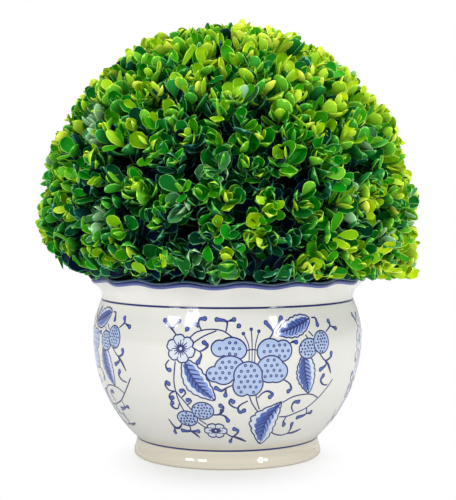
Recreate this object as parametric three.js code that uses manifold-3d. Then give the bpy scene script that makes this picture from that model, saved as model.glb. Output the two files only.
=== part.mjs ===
// A clipped box topiary ball in its footed porcelain bowl, in millimetres, +Z up.
// The origin is the centre of the bowl's flat underside, and the front of the bowl faces -Y.
// The bowl is filled, a short woody stem stands in the fill, and the clipped ball of foliage
// sits over the stem with its underside just above the bowl's waved rim.

import * as THREE from "three";
import { mergeVertices } from "three/addons/utils/BufferGeometryUtils.js";
import Module from "manifold-3d";

// Bowl: radii are outside radii, heights are above the ground
const BOWL_HEIGHT = 143.5;
const FOOT_RADIUS = 75;
const FOOT_EDGE = 1.5;
const FOOT_HEIGHT = 14.3;
const BELLY_RADIUS = 107.5;
const BELLY_CENTRE = 94.5;
const BELLY_DEPTH = 109;
const SHOULDER_DEPTH = 87;
const NECK_HEIGHT = 124.5;
const NECK_WAIST = 1;
const FLARE_HEIGHT = 8;
const RIM_RADIUS = 109;
const RIM_THICKNESS = 4.6;
const WALL = 6;
const FLOOR = 8;
const FLOOR_RADIUS = 62;

// The rim waves in and out and up and down, in round lobes
const RIM_LOBES = 16;
const LOBE_ANGLE = THREE.MathUtils.degToRad(-95);
const LOBE_REACH = 1.6;
const LOBE_DROP = 1.1;
const WAVE_START = 126.5;
const STEPS_PER_LOBE = 5;

// Fill and stem: touching pieces keep GAP between them
const GAP = 0.35;
const FILL_HEIGHT = 133.5;
const FILL_TOP_RADIUS = 94;
const FILL_SIDES = 40;
const STEM_FOOT_RADIUS = 15;
const STEM_FLARE_HEIGHT = 16;
const STEM_RADIUS = 9;
const STEM_TIP_RADIUS = 6.5;
const STEM_TIP_HEIGHT = 198.5;
const STEM_LEAN = 3;
const STEM_SIDES = 12;

// Ball of foliage: its leaves end within BALL_RADIUS of its middle, above UNDERSIDE, which curves
// up beyond UNDERSIDE_FLAT from the axis
const BALL_CENTRE = 191.5;
const BALL_MIDDLE = new THREE.Vector3(0, 0, BALL_CENTRE);
const BALL_RADIUS = 157;
const UNDERSIDE = 145;
const UNDERSIDE_FLAT = 130;
const UNDERSIDE_CURVE = 60;
const CORE_RADIUS = 130;
const CORE_UNDERSIDE = 147;
const CORE_NECK_RADIUS = 92;
const CORE_SIDES = 24;
const CORE_STEPS = 5;
const RIM_CLEARANCE = 5;

// Sprigs of box: a twig, and pairs of opposite leaves that lean off it in turn
const SPRIGS = 138;
const LOWEST_SPRIG = THREE.MathUtils.degToRad(106);
const TWIG_RADIUS = 2;
const TWIG_FROM = CORE_RADIUS - 8;
const TWIG_LENGTH = 24;
const LEAF_LENGTH = 28;
const LEAF_WIDTH = 18;
const LEAF_THICKNESS = 1.5;
const LEAF_MIDDLE = 0.52;
const LEAF_RIDGE = 0.6;
const LEAF_SHOULDER = 0.94;
const LEAF_TIP_WIDTH = 0.6;
const LEAF_SIZE_SPREAD = 0.1;
const LEAF_TURN_SPREAD = 0.2;
const LEAF_CLEARANCE = 8;
const LEAF_SPOTS = [0.5, 0.75, 1];
const LEAF_PAIRS = [
  { from: CORE_RADIUS - 2.5, off: 4.5, leans: [1.15, 1, 0.85, 0.7, 0.55] },
  { from: CORE_RADIUS - 2.5, off: 3, leans: [0.45, 0.3, 0.15] },
];
const SEED = 11;

const GOLDEN_ANGLE = Math.PI * (3 - Math.sqrt(5));
const UP = new THREE.Vector3(0, 0, 1);

const wasm = await Module();
wasm.setup();

// A small repeatable random number generator, which gives values from 0 to 1
function seededRandom(seed) {
  let state = seed;
  return () => {
    state = (state * 1664525 + 1013904223) % 4294967296;
    return state / 4294967296;
  };
}

function solidOf(geometry) {
  const bare = geometry.clone();
  bare.deleteAttribute("normal");
  bare.deleteAttribute("uv");
  const merged = mergeVertices(bare, 1e-4);
  return new wasm.Manifold(
    new wasm.Mesh({
      numProp: 3,
      vertProperties: new Float32Array(merged.attributes.position.array),
      triVerts: new Uint32Array(merged.index.array),
    }),
  );
}

function geometryOf(solid) {
  const mesh = solid.getMesh();
  return new THREE.BufferGeometry()
    .setAttribute("position", new THREE.BufferAttribute(mesh.vertProperties, 3))
    .setIndex(new THREE.BufferAttribute(mesh.triVerts, 1));
}

// Joins many solids by pairs, so that no step has to handle one very large solid many times
function joined(solids) {
  let left = solids;
  while (left.length > 1) {
    const pairs = [];
    for (let i = 0; i < left.length; i += 2) {
      pairs.push(i + 1 < left.length ? left[i].add(left[i + 1]) : left[i]);
    }
    left = pairs;
  }
  return left[0];
}

// A solid of revolution about +Z, from a profile of (radius, height) points
function turned(profile, sides) {
  return new THREE.LatheGeometry(profile, sides).rotateX(Math.PI / 2);
}

// The bowl's outside from the crease above the foot to the rim, as (radius, height) points
function bowlWall() {
  const wall = new THREE.Path();
  const footAngle = Math.asin((FOOT_HEIGHT - BELLY_CENTRE) / BELLY_DEPTH);
  const neckAngle = Math.asin((NECK_HEIGHT - BELLY_CENTRE) / SHOULDER_DEPTH);
  wall.absellipse(0, BELLY_CENTRE, BELLY_RADIUS, BELLY_DEPTH, footAngle, 0);
  const shoulder = new THREE.Path();
  shoulder.absellipse(0, BELLY_CENTRE, BELLY_RADIUS, SHOULDER_DEPTH, 0, neckAngle);
  const neck = shoulder.getPoint(1);
  const flare = new THREE.QuadraticBezierCurve(
    neck,
    new THREE.Vector2(neck.x - NECK_WAIST, NECK_HEIGHT + FLARE_HEIGHT),
    new THREE.Vector2(RIM_RADIUS - RIM_THICKNESS / 4, BOWL_HEIGHT - RIM_THICKNESS),
  );
  return [
    ...wall.getPoints(3),
    ...shoulder.getPoints(1).slice(1),
    ...flare.getPoints(3).slice(1),
  ];
}

// The inside of the wall: every second point of the outside, moved in square to the wall by
// its thickness
function insideOf(wall, thickness) {
  const moved = wall.map((point, i) => {
    const before = wall[Math.max(i - 1, 0)];
    const after = wall[Math.min(i + 1, wall.length - 1)];
    const along = after.clone().sub(before).normalize();
    return new THREE.Vector2(point.x - along.y * thickness, point.y + along.x * thickness);
  });
  return moved.filter((_, i) => i % 2 === 1);
}

// Moves the points above WAVE_START out and down at each lobe, and in and up between lobes
function waveRim(geometry) {
  const place = geometry.attributes.position;
  for (let i = 0; i < place.count; i++) {
    const x = place.getX(i);
    const y = place.getY(i);
    const z = place.getZ(i);
    const share = THREE.MathUtils.smoothstep(z, WAVE_START, BOWL_HEIGHT);
    const radius = Math.hypot(x, y);
    if (share === 0 || radius < FOOT_RADIUS) continue;
    const wave = share * Math.cos(RIM_LOBES * (Math.atan2(y, x) - LOBE_ANGLE));
    const grown = (radius + LOBE_REACH * wave) / radius;
    place.setXYZ(i, x * grown, y * grown, z - LOBE_DROP * wave);
  }
  return geometry;
}

function bowl() {
  const outside = bowlWall();
  const inside = insideOf(outside, WALL)
    .filter((point) => point.y > FLOOR)
    .reverse();
  const lip = new THREE.Path();
  lip.absarc(
    RIM_RADIUS - RIM_THICKNESS / 2,
    BOWL_HEIGHT - RIM_THICKNESS / 2,
    RIM_THICKNESS / 2,
    -Math.PI / 4,
    Math.PI * 0.75,
  );
  const profile = [
    new THREE.Vector2(0, 0),
    new THREE.Vector2(FOOT_RADIUS - FOOT_EDGE, 0),
    new THREE.Vector2(FOOT_RADIUS, FOOT_EDGE),
    ...outside,
    ...lip.getPoints(2),
    ...inside.slice(1),
    new THREE.Vector2(FLOOR_RADIUS, FLOOR),
    new THREE.Vector2(0, FLOOR),
  ];
  return waveRim(turned(profile, RIM_LOBES * STEPS_PER_LOBE));
}

// The planting fill follows the bowl's inside, a gap clear of it, and is level on top
function fill() {
  const inside = insideOf(bowlWall(), WALL + GAP).filter((point) => point.y < NECK_HEIGHT);
  const profile = [
    new THREE.Vector2(0, FLOOR + GAP),
    new THREE.Vector2(FLOOR_RADIUS - 2 * GAP, FLOOR + GAP),
    ...inside,
    new THREE.Vector2(FILL_TOP_RADIUS, FILL_HEIGHT),
    new THREE.Vector2(0, FILL_HEIGHT),
  ];
  return turned(profile, FILL_SIDES);
}

// The stem's outline from its flat foot to its tip; clear widens it to cut a socket for it
function stemGeometry(clear) {
  const foot = FILL_HEIGHT + GAP;
  const flare = new THREE.QuadraticBezierCurve(
    new THREE.Vector2(STEM_FOOT_RADIUS + clear, foot),
    new THREE.Vector2(STEM_RADIUS + clear, foot + STEM_FLARE_HEIGHT / 3),
    new THREE.Vector2(STEM_RADIUS + clear, foot + STEM_FLARE_HEIGHT),
  );
  const profile = [
    new THREE.Vector2(0, foot),
    ...flare.getPoints(5),
    new THREE.Vector2(STEM_TIP_RADIUS + clear, STEM_TIP_HEIGHT - STEM_TIP_RADIUS / 2 + clear),
    new THREE.Vector2(STEM_TIP_RADIUS / 2 + clear, STEM_TIP_HEIGHT + clear),
    new THREE.Vector2(0, STEM_TIP_HEIGHT + clear),
  ];
  const geometry = turned(profile, STEM_SIDES);
  const place = geometry.attributes.position;
  for (let i = 0; i < place.count; i++) {
    const share = (place.getZ(i) - foot) / (STEM_TIP_HEIGHT - foot);
    place.setX(i, place.getX(i) + STEM_LEAN * share * share);
  }
  return geometry;
}

// One leaf from its root at the origin to its tip along +Y: narrow at the root, widest past
// the middle and blunt at the tip, with a ridge on its upper side and a flat underside
function leafGeometry(length, width) {
  const middle = length * LEAF_MIDDLE;
  const shoulder = length * LEAF_SHOULDER;
  const half = width / 2;
  const outline = [
    [0, 0],
    [half, middle],
    [half * LEAF_TIP_WIDTH, shoulder],
    [-half * LEAF_TIP_WIDTH, shoulder],
    [-half, middle],
  ];
  const points = outline.map(([x, y]) => [x, y, 0]);
  const ridge = points.length;
  points.push([0, length * LEAF_RIDGE, LEAF_THICKNESS]);
  const faces = outline.map((_, i) => [i, (i + 1) % ridge, ridge]);
  faces.push([0, 4, 1], [1, 4, 3], [1, 3, 2]);
  return new THREE.BufferGeometry()
    .setAttribute("position", new THREE.Float32BufferAttribute(points.flat(), 3))
    .setIndex(faces.flat());
}

// A three-sided twig along +Y, pointed at its tip
function twigGeometry(length) {
  return new THREE.ConeGeometry(TWIG_RADIUS, length, 3).translate(0, length / 2, 0);
}

// True if the point is outside the clipped ball, or would meet the bowl
function outOfSpace(point) {
  const across = Math.hypot(point.x, point.y);
  const fromCentre = Math.hypot(across, point.z - BALL_CENTRE);
  const beyond = Math.max(0, across - UNDERSIDE_FLAT);
  const clipped = UNDERSIDE + (beyond * beyond) / UNDERSIDE_CURVE;
  const lowest = across < RIM_RADIUS + RIM_CLEARANCE ? CORE_UNDERSIDE : clipped;
  return fromCentre > BALL_RADIUS || point.z < lowest;
}

// A matrix that puts +Y along direction and +Z as near to face as it can, at a place
function aimed(place, direction, face) {
  const along = direction.clone().normalize();
  const across = new THREE.Vector3().crossVectors(along, face).normalize();
  const normal = new THREE.Vector3().crossVectors(across, along);
  return new THREE.Matrix4().makeBasis(across, along, normal).setPosition(place);
}

// The directions of the sprigs: a golden-angle spiral that spaces them evenly over the ball
function sprigDirections() {
  const directions = [];
  for (let i = 0; i < SPRIGS; i++) {
    const rise = 1 - ((1 - Math.cos(LOWEST_SPRIG)) * (i + 0.5)) / SPRIGS;
    const reach = Math.sqrt(1 - rise * rise);
    const turn = i * GOLDEN_ANGLE;
    directions.push(new THREE.Vector3(reach * Math.cos(turn), reach * Math.sin(turn), rise));
  }
  return directions;
}

// A size that is up to LEAF_SIZE_SPREAD larger or smaller than the one given
function varied(size, random) {
  return size * (1 + LEAF_SIZE_SPREAD * (2 * random() - 1));
}

// A leaf rooted on the sprig's axis, leaning away from it towards out. It takes the widest of
// the leans that keeps it clear of the leaves of other sprigs, and is left out if none does
function placedLeaf(direction, out, pair, random, taken) {
  const root = BALL_MIDDLE.clone().addScaledVector(direction, pair.from).addScaledVector(out, pair.off);
  const length = varied(LEAF_LENGTH, random);
  const width = varied(LEAF_WIDTH, random);
  for (const lean of pair.leans) {
    const along = direction.clone().multiplyScalar(Math.cos(lean)).addScaledVector(out, Math.sin(lean));
    const face = direction.clone().multiplyScalar(Math.sin(lean)).addScaledVector(out, -Math.cos(lean));
    const spots = LEAF_SPOTS.map((share) => root.clone().addScaledVector(along, length * share));
    const crowded = spots.some((spot) => taken.some((other) => other.distanceTo(spot) < LEAF_CLEARANCE));
    if (crowded || spots.some(outOfSpace)) continue;
    return { spots, solid: leafGeometry(length, width).applyMatrix4(aimed(root, along, face)) };
  }
  return null;
}

// A sprig is a twig with opposite leaves: each pair stands square to the pair below it
function sprig(direction, random, taken) {
  const helper = Math.abs(direction.z) > 0.9 ? new THREE.Vector3(1, 0, 0) : UP;
  const side = new THREE.Vector3().crossVectors(direction, helper).normalize();
  side.applyAxisAngle(direction, random() * Math.PI);
  const foot = BALL_MIDDLE.clone().addScaledVector(direction, TWIG_FROM);
  const solids = [twigGeometry(TWIG_LENGTH).applyMatrix4(aimed(foot, direction, side))];
  const spots = [];
  for (const pair of LEAF_PAIRS) {
    for (const turn of [0, Math.PI]) {
      const jitter = LEAF_TURN_SPREAD * (2 * random() - 1);
      const out = side.clone().applyAxisAngle(direction, turn + jitter);
      const leaf = placedLeaf(direction, out, pair, random, taken);
      if (leaf) {
        solids.push(leaf.solid);
        spots.push(...leaf.spots);
      }
    }
    side.applyAxisAngle(direction, Math.PI / 2);
  }
  taken.push(...spots);
  return solids;
}

// The clipped core that the sprigs stand out of. Its underside is flat, just over the rim, and
// its neck seats in the bowl's mouth on the fill
function coreGeometry() {
  const clip = Math.asin((CORE_UNDERSIDE - BALL_CENTRE) / CORE_RADIUS);
  const round = new THREE.Path();
  round.absarc(0, BALL_CENTRE, CORE_RADIUS, clip, Math.PI / 2);
  const ball = round.getPoints(CORE_STEPS);
  ball[ball.length - 1].x = 0;
  const profile = [
    new THREE.Vector2(0, FILL_HEIGHT + GAP),
    new THREE.Vector2(CORE_NECK_RADIUS, FILL_HEIGHT + GAP),
    new THREE.Vector2(CORE_NECK_RADIUS, CORE_UNDERSIDE),
    ...ball,
  ];
  return turned(profile, CORE_SIDES);
}

function foliage() {
  const random = seededRandom(SEED);
  const taken = [];
  const pieces = sprigDirections().flatMap((direction) => sprig(direction, random, taken));
  const whole = joined([coreGeometry(), ...pieces].map(solidOf));
  return geometryOf(whole.subtract(solidOf(stemGeometry(GAP))));
}

function part(name, geometry, colour, roughness) {
  const mesh = new THREE.Mesh(
    geometry,
    new THREE.MeshStandardMaterial({ color: colour, roughness, metalness: 0 }),
  );
  mesh.name = name;
  return mesh;
}

const topiary = new THREE.Group();
topiary.add(part("bowl", bowl(), 0xeeeee6, 0.12));
topiary.add(part("planting_fill", fill(), 0x3a2d20, 0.95));
topiary.add(part("stem", stemGeometry(0), 0x6b543a, 0.85));
topiary.add(part("foliage_ball", foliage(), 0x2f6b1e, 0.5));

export default topiary;
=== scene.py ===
"""The looks of a clipped box topiary ball in its footed porcelain bowl.

The file is laid out as an add-on: each group of pieces has its own operator, and a panel in the
3D view's sidebar lists them. Lengths are metres; the painting is drawn in millimetres.
"""

import math
import random
from collections import namedtuple

import bmesh
import bpy
import numpy as np
from mathutils import Matrix, Vector, noise
from mathutils.geometry import delaunay_2d_cdt


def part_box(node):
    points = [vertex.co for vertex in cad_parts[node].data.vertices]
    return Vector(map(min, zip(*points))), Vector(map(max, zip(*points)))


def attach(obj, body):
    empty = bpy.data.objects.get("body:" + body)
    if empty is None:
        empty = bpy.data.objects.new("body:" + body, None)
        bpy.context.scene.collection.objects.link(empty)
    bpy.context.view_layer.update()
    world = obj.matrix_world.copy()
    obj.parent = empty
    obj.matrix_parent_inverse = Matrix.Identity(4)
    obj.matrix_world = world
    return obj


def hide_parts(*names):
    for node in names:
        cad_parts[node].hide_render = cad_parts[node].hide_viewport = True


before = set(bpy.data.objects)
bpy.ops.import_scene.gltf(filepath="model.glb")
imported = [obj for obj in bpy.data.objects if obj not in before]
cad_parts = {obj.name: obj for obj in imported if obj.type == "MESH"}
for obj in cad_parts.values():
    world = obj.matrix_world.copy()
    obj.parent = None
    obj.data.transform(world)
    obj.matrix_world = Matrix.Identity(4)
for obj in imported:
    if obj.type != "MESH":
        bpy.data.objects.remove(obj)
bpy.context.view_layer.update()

bl_info = {
    "name": "Box topiary ball",
    "version": (1, 0, 0),
    "blender": (4, 5, 0),
    "location": "View3D > Sidebar > Topiary",
    "description": "A clipped ball of box foliage in a footed blue and white bowl",
    "category": "Add Mesh",
}

MM = 0.001
BODY = "root"
GOLDEN_ANGLE = math.pi * (3 - math.sqrt(5))
UP = Vector((0, 0, 1))
MERGE = 0.002 * MM


def linear(hex_colour):
    """An sRGB hex colour as linear red, green, blue and alpha."""
    parts = [int(hex_colour[i : i + 2], 16) / 255 for i in (1, 3, 5)]
    return [p / 12.92 if p <= 0.04045 else ((p + 0.055) / 1.055) ** 2.4 for p in parts] + [1.0]


def length(name, description, default):
    return bpy.props.FloatProperty(
        name=name, description=description, default=default, unit="LENGTH", precision=4
    )


def angle(name, description, degrees):
    return bpy.props.FloatProperty(
        name=name, description=description, default=math.radians(degrees), subtype="ANGLE"
    )


def number(name, description, default):
    return bpy.props.IntProperty(name=name, description=description, default=default, min=1)


def colour(name, description, hex_colour):
    return bpy.props.FloatVectorProperty(
        name=name, description=description, default=linear(hex_colour), size=4, subtype="COLOR"
    )


class BowlSettings(bpy.types.PropertyGroup):
    """Sizes and glaze of the bowl."""

    height: length("Height", "From the ground to the top of the lip", 0.1435)
    foot_radius: length("Foot radius", "Outside radius of the foot on the ground", 0.075)
    foot_height: length("Foot height", "Height of the crease above the foot", 0.0143)
    belly_radius: length("Belly radius", "Outside radius at the widest place of the wall", 0.1075)
    belly_centre: length("Belly height", "Height of the widest place of the wall", 0.0945)
    belly_depth: length("Belly depth", "Half height of the ellipse below the belly", 0.109)
    shoulder_depth: length("Shoulder depth", "Half height of the ellipse above the belly", 0.087)
    neck_height: length("Neck height", "Height of the ring where the neck starts", 0.1245)
    rim_radius: length("Rim radius", "Mean outside radius of the rim", 0.109)
    rim_thickness: length("Rim thickness", "Thickness of the round lip", 0.0046)
    wall: length("Wall", "Thickness of the porcelain", 0.006)
    floor: length("Floor", "Height of the inside floor", 0.008)
    lobes: number("Lobes", "Waves round the rim", 16)
    lobe_angle: angle("Lobe angle", "Where the first lobe reaches out", -95)
    lobe_reach: length("Lobe reach", "How far a lobe goes out and in", 0.0016)
    lobe_drop: length("Lobe drop", "How far a lobe goes down and up", 0.0011)
    glaze: colour("Glaze", "Clear glaze over the white body", "#dfddd7")
    # Painted light: the neck's whiter glaze makes up for the shade that the foliage ball casts on it
    neck_painted_light: colour("Neck glaze", "Whiter glaze on the neck, where it runs thin", "#eae8e3")
    foot_glaze: colour("Foot glaze", "Warmer glaze on the foot", "#d3ccbb")
    body: colour("Bare body", "Unglazed body under the foot", "#cdbfa4")


class PaintSettings(bpy.types.PropertyGroup):
    """The blue painting under the glaze."""

    repeats: number("Panels", "How often the panel is painted round the bowl", 4)
    turn: angle("Turn", "How far right of the front the first panel's middle lies", 11.5)
    base: length("Base", "Height that the drawing's heights are measured from", 0.0025)
    line: colour("Line", "Fine outlines, vines and veins", "#1a2a6c")
    brush: colour("Brush", "Filled leaves and tendrils", "#4560b2")
    soft: colour("Soft brush", "The lighter half of a leaf", "#7b93d0")
    wash: colour("Wash", "Thin wash on petals and berries", "#a6b8d8")
    haze: colour("Haze", "Faint tint inside blossoms and leaves", "#ced5de")
    rim: colour("Rim", "Band on the outside of the lip", "#505da6")
    rim_line: colour("Rim line", "Dark line along the lip", "#12226a")
    # The lip is blue all over; this paler tone on its top is a painted highlight, the glaze's
    # reflection there
    rim_top_highlight: colour("Rim top", "Thin colour on the top of the lip", "#7f9dbd")


class FoliageSettings(bpy.types.PropertyGroup):
    """Sizes of the ball and of what grows in it."""

    centre: length("Centre", "Height of the ball's middle", 0.1918)
    radius: length("Radius", "How far the clipped leaves reach", 0.1525)
    rim_clear: length("Over the rim", "Lowest leaves over the bowl's rim", 0.1458)
    boughs: number("Boughs", "Limbs that leave the stem", 24)
    branches: number("Branches", "Branches that the boughs divide into", 120)
    sprigs: number("Sprigs", "Leafy shoots at the surface", 836)
    leaf: length("Leaf", "Length of a full-grown leaf", 0.0213)
    seed: number("Seed", "Start of the random numbers", 11)


class StageSettings(bpy.types.PropertyGroup):
    """Camera, floor and lights."""

    distance: length("Camera distance", "From the ball's axis", 1.03)
    camera_height: length("Camera height", "Above the floor", 0.2051)
    camera_right: length("Camera right", "How far right of the axis the camera stands", 0.0005)
    pitch: angle("Camera pitch", "How far the camera looks down", 2.36)
    lens: bpy.props.FloatProperty(
        name="Lens", description="Focal length in millimetres", default=92.3, unit="CAMERA"
    )
    floor: colour("Floor", "Matt white floor", "#e0e0df")


def add_node(tree, kind, inputs=None, into=None, **settings):
    """Adds a shader node. An input is a value, a socket, or a node whose first output feeds it.

    Where into is a socket, the new node's first output feeds that.
    """
    node = tree.nodes.new(f"ShaderNode{kind}")
    for name, value in settings.items():
        setattr(node, name, value)
    for name, value in (inputs or {}).items():
        source = value.outputs[0] if isinstance(value, bpy.types.Node) else value
        if isinstance(source, bpy.types.NodeSocket):
            tree.links.new(source, node.inputs[name])
        else:
            node.inputs[name].default_value = source
    if into:
        tree.links.new(node.outputs[0], into)
    return node


def new_material(name, **sockets):
    """A principled material with plain values on its sockets, and its object coordinates."""
    material = bpy.data.materials.new(name)
    material.use_nodes = True
    tree = material.node_tree
    shader = tree.nodes["Principled BSDF"]
    for socket, value in sockets.items():
        shader.inputs[socket.replace("_", " ")].default_value = value
    return material, tree, shader, add_node(tree, "TexCoord").outputs["Object"]


# Sockets of a colour mix: its share, its two colours, and its result
SHARE, FIRST, SECOND, MIXED = 0, 6, 7, 2


def mottle(tree, shader, pattern, dark, light, relief, strength, depth):
    """Mixes two colours by one pattern, and raises the surface by another, up to a depth."""
    shades = {SHARE: pattern, FIRST: linear(dark), SECOND: linear(light)}
    tint = add_node(tree, "Mix", shades, data_type="RGBA")
    tree.links.new(tint.outputs[MIXED], shader.inputs["Base Color"])
    bump = {"Height": relief, "Strength": strength, "Distance": depth}
    add_node(tree, "Bump", bump, shader.inputs["Normal"])


def ripple(tree, shader, place, apart, detail, strength, depth):
    """Raises the surface in soft waves some way apart, up to a depth."""
    wave = add_node(tree, "TexNoise", {"Vector": place, "Scale": 1 / apart, "Detail": detail})
    bump = {"Height": wave, "Strength": strength, "Distance": depth}
    add_node(tree, "Bump", bump, shader.inputs["Normal"])


def glaze_ripple(tree, shader, place):
    """The glaze pools in ripples about 20 mm apart, which bends the edges of the reflections."""
    ripple(tree, shader, place, 20 * MM, 1.0, 0.25, 0.3 * MM)


def glazed_porcelain(bowl):
    """Glazed porcelain: a cloudy warm white, glossy, with a neck painted lighter as painted light, a
    warmer foot and a bare ground ring.
    """
    material, tree, shader, place = new_material("glazed_porcelain", Roughness=0.07, IOR=1.58)
    glaze_ripple(tree, shader, place)
    height = add_node(tree, "SeparateXYZ", {"Vector": place}).outputs["Z"]
    cloud = add_node(tree, "TexNoise", {"Vector": place, "Scale": 1 / 0.06, "Detail": 3.0})
    speck = add_node(tree, "TexNoise", {"Vector": place, "Scale": 1 / 0.0025, "Detail": 2.0})
    clouded = {SHARE: cloud, FIRST: linear("#d6d7d1"), SECOND: list(bowl.glaze)}
    tint = add_node(tree, "Mix", clouded, data_type="RGBA")
    # Specks, the neck, the foot and the bare ring: what each goes by, from where to where, how
    # strong it gets, and its colour. The neck's whiter colour is painted light against the foliage's
    # shade. The last share, the bare ring's, also roughens it.
    for measure, start, end, most, shade in (
        (speck.outputs["Fac"], 0.74, 0.8, 0.5, linear("#b9b09a")),
        (height, 112 * MM, 132 * MM, 1.0, bowl.neck_painted_light),
        (height, 22 * MM, bowl.foot_height, 1.0, bowl.foot_glaze),
        (height, 0.9 * MM, 0.4 * MM, 1.0, bowl.body),
    ):
        reach = {"Value": measure, "From Min": start, "From Max": end, "To Max": most}
        share = add_node(tree, "MapRange", reach)
        shades = {SHARE: share, FIRST: tint.outputs[MIXED], SECOND: list(shade)}
        tint = add_node(tree, "Mix", shades, data_type="RGBA")
    tree.links.new(tint.outputs[MIXED], shader.inputs["Base Color"])
    roughness = {"Value": share, "To Min": 0.07, "To Max": 0.8}
    add_node(tree, "MapRange", roughness, shader.inputs["Roughness"])
    return material


def cobalt(name, tone):
    """Cobalt painted under the glaze: a plain blue that shines as the glaze over it does."""
    material, tree, shader, place = new_material(name, Base_Color=list(tone), Roughness=0.09, IOR=1.58)
    glaze_ripple(tree, shader, place)
    return material


def smooth_step(value, low, high):
    """0 up to low, 1 from high on, and a soft step between them."""
    share = min(max((value - low) / (high - low), 0), 1)
    return share * share * (3 - 2 * share)


def arc(centre, radius, start, end, steps):
    """Points of an arc in the XZ plane, with angles in degrees from +X towards +Z."""
    turns = [math.radians(start + (end - start) * i / steps) for i in range(steps + 1)]
    return [centre + radius * Vector((math.cos(t), 0, math.sin(t))) for t in turns]


def quadratic(a, b, c, steps):
    """Points of a curve from a to c that leaves and arrives along the lines to b."""
    shares = [i / steps for i in range(steps + 1)]
    return [a * (1 - s) ** 2 + b * 2 * s * (1 - s) + c * s * s for s in shares]


def wall_radius(bowl, z):
    depth = bowl.shoulder_depth if z > bowl.belly_centre else bowl.belly_depth
    return bowl.belly_radius * math.sqrt(1 - ((z - bowl.belly_centre) / depth) ** 2)


def wall_normal(bowl, z):
    """How far the wall faces out and up at a height, as (out, up)."""
    depth = bowl.shoulder_depth if z > bowl.belly_centre else bowl.belly_depth
    out = wall_radius(bowl, z) / bowl.belly_radius**2
    up = (z - bowl.belly_centre) / depth**2
    size = math.hypot(out, up)
    return out / size, up / size


def lip_centre(bowl):
    half = bowl.rim_thickness / 2
    return Vector((bowl.rim_radius - half, 0, bowl.height - half))


# Details of the bowl: the rounded edge of its foot, the neck's waist, which is pulled in
# and lies some way above the ring line, and the radius of the floor inside
FOOT_EDGE = 1.5 * MM
NECK_WAIST = 1 * MM
WAIST_HEIGHT = 8 * MM
FLOOR_RADIUS = 62 * MM
BELLY_STEPS = 24
SHOULDER_STEPS = 16


def outside_of_bowl(bowl):
    """The outside from the crease above the foot to the lip, as points in the XZ plane."""
    low = math.asin((bowl.foot_height - bowl.belly_centre) / bowl.belly_depth)
    high = math.asin((bowl.neck_height - bowl.belly_centre) / bowl.shoulder_depth)
    turns = [(bowl.belly_depth, low * (1 - i / BELLY_STEPS)) for i in range(BELLY_STEPS + 1)]
    turns += [(bowl.shoulder_depth, high * i / SHOULDER_STEPS) for i in range(1, SHOULDER_STEPS + 1)]
    heights = [bowl.belly_centre + depth * math.sin(turn) for depth, turn in turns]
    points = [Vector((wall_radius(bowl, z), 0, z)) for z in heights]
    neck = points[-1]
    waist = Vector((neck.x - NECK_WAIST, 0, bowl.neck_height + WAIST_HEIGHT))
    under_lip = Vector((bowl.rim_radius - bowl.rim_thickness / 4, 0, bowl.height - bowl.rim_thickness))
    return points + quadratic(neck, waist, under_lip, 14)[1:]


def side_of_foot(bowl):
    """The foot's side from the ground up to the crease: upright, a round step in, and a hollow."""
    foot = bowl.foot_radius
    low = Vector((foot, 0, FOOT_EDGE))
    step = Vector((foot - 1.1 * MM, 0, 7.2 * MM))
    crease = Vector((wall_radius(bowl, bowl.foot_height), 0, bowl.foot_height))
    round_edge = arc(Vector((foot - FOOT_EDGE, 0, FOOT_EDGE)), FOOT_EDGE, -90, 0, 4)
    round_step = quadratic(low, Vector((foot, 0, 4.7 * MM)), step, 6)
    hollow = quadratic(step, Vector((foot - 1.9 * MM, 0, 9 * MM)), crease, 6)
    return round_edge + round_step[1:] + hollow[1:]


def radius_at(outline, z):
    """The outline's radius at a height, between its points."""
    for a, b in zip(outline, outline[1:]):
        if a.z <= z <= b.z:
            return a.x + (b.x - a.x) * (z - a.z) / (b.z - a.z)
    raise ValueError(f"no point of the outline is {z} high")


def moved_in(outline, distance):
    """The outline moved in square to itself."""
    moved = []
    for i, point in enumerate(outline):
        along = (outline[min(i + 1, len(outline) - 1)] - outline[max(i - 1, 0)]).normalized()
        moved.append(point + distance * Vector((-along.z, 0, along.x)))
    return moved


def waved(bowl, point):
    """Moves a point near the rim out and down at a lobe, and in and up between lobes."""
    share = smooth_step(point.z, bowl.neck_height + 2 * MM, bowl.height)
    radius = math.hypot(point.x, point.y)
    if share == 0 or radius < bowl.foot_radius:
        return point
    wave = share * math.cos(bowl.lobes * (math.atan2(point.y, point.x) - bowl.lobe_angle))
    grown = (radius + bowl.lobe_reach * wave) / radius
    return Vector((point.x * grown, point.y * grown, point.z - bowl.lobe_drop * wave))


def spun(outline, steps, loop=False):
    """A closed shell spun round +Z from an outline that runs from axis to axis, or is a loop."""
    shell = bmesh.new()
    corners = [shell.verts.new(point) for point in outline]
    ends = corners[1:] + corners[:1] if loop else corners[1:]
    edges = [shell.edges.new(pair) for pair in zip(corners, ends)]
    bmesh.ops.spin(
        shell,
        geom=corners + edges,
        axis=UP,
        cent=(0, 0, 0),
        angle=math.tau,
        steps=steps,
        use_merge=True,
    )
    bmesh.ops.remove_doubles(shell, verts=shell.verts, dist=MERGE)
    bmesh.ops.recalc_face_normals(shell, faces=shell.faces)
    return shell


def mesh_of(shell):
    """Turns a bmesh into a smooth mesh and frees it."""
    mesh = bpy.data.meshes.new("shell")
    shell.to_mesh(mesh)
    shell.free()
    mesh.shade_smooth()
    return mesh


def new_object(name, data):
    """Puts an object in the scene, and names it and its data."""
    data.name = name
    made = bpy.data.objects.new(name, data)
    bpy.context.scene.collection.objects.link(made)
    return made


def add_piece(name, mesh, materials, node=None):
    """Puts a mesh in the scene as a piece of the plant, in place of a node where one is named."""
    for material in materials:
        mesh.materials.append(material)
    piece = new_object(name, mesh)
    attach(piece, BODY)
    if node:
        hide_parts(node)


# Steps round each lobe of the rim, how far painted rings stand proud of the glaze, and half
# the height of the neck's and the foot's line
LOBE_STEPS = 16
RING_PROUD = 0.09 * MM
RING_HALF = 0.72 * MM


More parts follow.
